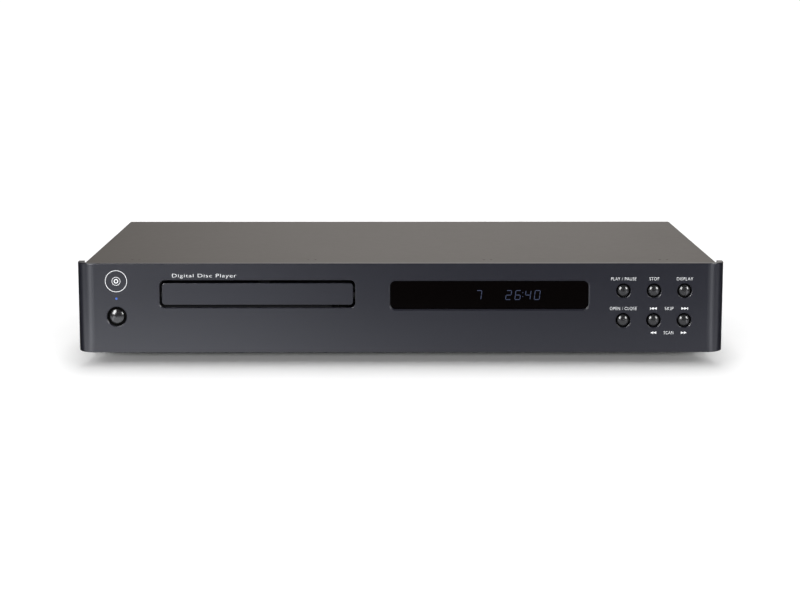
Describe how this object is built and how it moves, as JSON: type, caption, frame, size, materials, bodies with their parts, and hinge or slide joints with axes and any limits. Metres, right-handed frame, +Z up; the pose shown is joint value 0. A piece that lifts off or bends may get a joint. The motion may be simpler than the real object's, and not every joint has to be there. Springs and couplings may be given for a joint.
{
  "type": "cd player",
  "caption": "Slim full-width disc player with a motor-driven disc tray, dark display window, round push buttons, power button and rear connections.",
  "frame": {"origin": "on the surface the feet stand on, under the middle of the overall length and width", "axes": "+X to the right as the user faces the front, +Y from the front panel to the rear, +Z up"},
  "size_m": [0.435, 0.249, 0.07],
  "materials": {
    "front_moulding": "satin, fine texture",
    "cover_paint": "matte powder coat",
    "zinc_sheet": "zinc-plated sheet",
    "foot_moulding": "matt",
    "foot_rubber": "matt",
    "screw_steel": "black zinc",
    "window_plastic": "gloss",
    "button_plastic": "semi-gloss",
    "blue_light": "clear moulding, lit blue",
    "circuit_board": "green solder mask",
    "component_black": "matt",
    "capacitor_sleeve": "printed sleeve",
    "tube_glass": "clear",
    "loader_moulding": "moulded",
    "tray_moulding": "moulded",
    "gear_plastic": "natural acetal",
    "clamp_plastic": "moulded",
    "magnet_iron": "plated",
    "motor_steel": "plated",
    "transformer_iron": "tape and laminations",
    "aluminium_fins": "extruded",
    "jack_plastic": "moulded",
    "jack_metal": "gold plated",
    "post_brass": "turned",
    "lead_insulation": "flexible PVC",
    "cable_white": "flat cable"
  },
  "bodies": {
    "case": {"front_panel": "front_moulding", "top_cover": "cover_paint", "base_pan": "zinc_sheet", "rear_panel": "cover_paint", "feet": "foot_moulding", "foot_pads": "foot_rubber", "screws": "screw_steel", "display_window": "window_plastic", "button_guides": "button_plastic", "power_light": "blue_light", "front_boards": "circuit_board", "front_board_parts": "component_black", "display_tube": "tube_glass", "loader_frame": "loader_moulding", "loader_mounts": "foot_rubber", "clamp_bridge": "loader_moulding", "drive_belt": "foot_rubber", "tray_motor": "motor_steel", "board_posts": "post_brass", "main_board": "circuit_board", "power_board": "circuit_board", "board_chips": "component_black", "capacitors": "capacitor_sleeve", "transformer": "transformer_iron", "heat_sink": "aluminium_fins", "jack_block": "jack_plastic", "jack_shells": "jack_metal", "optical_jack": "component_black", "mains_inlet": "component_black", "power_switch": "component_black", "mains_leads": "lead_insulation", "flat_cable": "cable_white"},
    "tray": {"disc_tray": "tray_moulding", "tray_door": "front_moulding"},
    "clamp": {"clamp_disc": "clamp_plastic", "clamp_magnet": "magnet_iron"},
    "drive_gear": {"drive_gear": "gear_plastic"},
    "pulley_gear": {"pulley_gear": "gear_plastic"},
    "motor_pulley": {"motor_pulley": "gear_plastic"},
    "cam": {"cam_slider": "gear_plastic"},
    "pickup_unit": {"pickup_chassis": "loader_moulding", "guide_rods": "motor_steel", "spindle_motor": "motor_steel", "sled_motor": "motor_steel"},
    "turntable": {"turntable": "clamp_plastic"},
    "sled": {"pickup_sled": "loader_moulding"},
    "lens": {"lens_holder": "clamp_plastic"},
    "sled_gear": {"sled_gear": "gear_plastic"},
    "sled_motor_gear": {"sled_motor_gear": "gear_plastic"},
    "rocker": {"power_rocker": "component_black"},
    "flap": {"optical_flap": "component_black"},
    "play_pause_button": {"play_pause_button": "button_plastic"},
    "stop_button": {"stop_button": "button_plastic"},
    "display_button": {"display_button": "button_plastic"},
    "open_close_button": {"open_close_button": "button_plastic"},
    "previous_button": {"previous_button": "button_plastic"},
    "next_button": {"next_button": "button_plastic"},
    "power_button": {"power_button": "button_plastic"}
  },
  "joints": [
    {"name": "tray_slide", "type": "slide", "parent": "case", "child": "tray", "axis": [0, -1, 0], "range_m": [0, 0.135]},
    {"name": "drive_gear_turn", "type": "hinge", "parent": "case", "child": "drive_gear", "pos_m": [-0.0521, -0.0917, 0.038], "axis": [0, 0, 1], "range_deg": [-967.83, 0]},
    {"name": "pulley_gear_turn", "type": "hinge", "parent": "case", "child": "pulley_gear", "pos_m": [-0.0737, -0.0917, 0.036], "axis": [0, 0, 1], "range_deg": [0, 2765.24]},
    {"name": "motor_pulley_turn", "type": "hinge", "parent": "case", "child": "motor_pulley", "pos_m": [-0.1281, -0.0917, 0.034], "axis": [0, 0, 1], "range_deg": [0, 9505.5]},
    {"name": "pickup_hinge", "type": "hinge", "parent": "case", "child": "pickup_unit", "pos_m": [-0.0961, 0.0363, 0.035], "axis": [1, 0, 0], "range_deg": [0, 4.2]},
    {"name": "cam_slide", "type": "slide", "parent": "case", "child": "cam", "axis": [1, 0, 0], "range_m": [0, 0.01602]},
    {"name": "turntable_spin", "type": "hinge", "parent": "pickup_unit", "child": "turntable", "pos_m": [-0.0961, -0.0517, 0.0494], "axis": [0, 0, 1], "continuous": true},
    {"name": "clamp_spin", "type": "hinge", "parent": "case", "child": "clamp", "pos_m": [-0.0961, -0.0517, 0.057], "axis": [0, 0, 1], "continuous": true},
    {"name": "sled_slide", "type": "slide", "parent": "pickup_unit", "child": "sled", "axis": [0, 1, 0], "range_m": [0, 0.033]},
    {"name": "sled_gear_turn", "type": "hinge", "parent": "pickup_unit", "child": "sled_gear", "pos_m": [-0.0631, -0.0037, 0.038], "axis": [0, 0, 1], "range_deg": [-473.16, 0]},
    {"name": "sled_motor_turn", "type": "hinge", "parent": "pickup_unit", "child": "sled_motor_gear", "pos_m": [-0.0631, 0.0068, 0.036], "axis": [0, 0, 1], "range_deg": [0, 946.33]},
    {"name": "lens_focus", "type": "slide", "parent": "sled", "child": "lens", "axis": [0, 0, 1], "range_m": [-0.0006, 0.0006], "stiffness_N_per_m": 200},
    {"name": "play_pause_press", "type": "slide", "parent": "case", "child": "play_pause_button", "axis": [0, 1, 0], "range_m": [0, 0.0005], "stiffness_N_per_m": 900, "springref_m": -0.0004},
    {"name": "stop_press", "type": "slide", "parent": "case", "child": "stop_button", "axis": [0, 1, 0], "range_m": [0, 0.0005], "stiffness_N_per_m": 900, "springref_m": -0.0004},
    {"name": "display_press", "type": "slide", "parent": "case", "child": "display_button", "axis": [0, 1, 0], "range_m": [0, 0.0005], "stiffness_N_per_m": 900, "springref_m": -0.0004},
    {"name": "open_close_press", "type": "slide", "parent": "case", "child": "open_close_button", "axis": [0, 1, 0], "range_m": [0, 0.0005], "stiffness_N_per_m": 900, "springref_m": -0.0004},
    {"name": "previous_press", "type": "slide", "parent": "case", "child": "previous_button", "axis": [0, 1, 0], "range_m": [0, 0.0005], "stiffness_N_per_m": 900, "springref_m": -0.0004},
    {"name": "next_press", "type": "slide", "parent": "case", "child": "next_button", "axis": [0, 1, 0], "range_m": [0, 0.0005], "stiffness_N_per_m": 900, "springref_m": -0.0004},
    {"name": "power_press", "type": "slide", "parent": "case", "child": "power_button", "axis": [0, 1, 0], "range_m": [0, 0.0005], "stiffness_N_per_m": 900, "springref_m": -0.0004},
    {"name": "rocker_tilt", "type": "hinge", "parent": "case", "child": "rocker", "pos_m": [-0.128, 0.1123, 0.04], "axis": [1, 0, 0], "range_deg": [-18, 0]},
    {"name": "flap_swing", "type": "hinge", "parent": "case", "child": "flap", "pos_m": [0.084, 0.1153, 0.03965], "axis": [1, 0, 0], "range_deg": [-75, 0], "stiffness_Nm_per_rad": 0.0005, "springref_deg": 11.46}
  ],
  "couplings": [
    {"joint": "drive_gear_turn", "follows": "tray_slide", "rad_per_m": -125},
    {"joint": "pulley_gear_turn", "follows": "tray_slide", "rad_per_m": 357.14},
    {"joint": "motor_pulley_turn", "follows": "tray_slide", "rad_per_m": 1227.7},
    {"joint": "cam_slide", "follows": "pickup_hinge", "m_per_rad": 0.21827},
    {"joint": "sled_gear_turn", "follows": "sled_slide", "rad_per_m": -250},
    {"joint": "sled_motor_turn", "follows": "sled_slide", "rad_per_m": 500},
    {"joint": "clamp_spin", "follows": "turntable_spin", "ratio": 1}
  ]
}
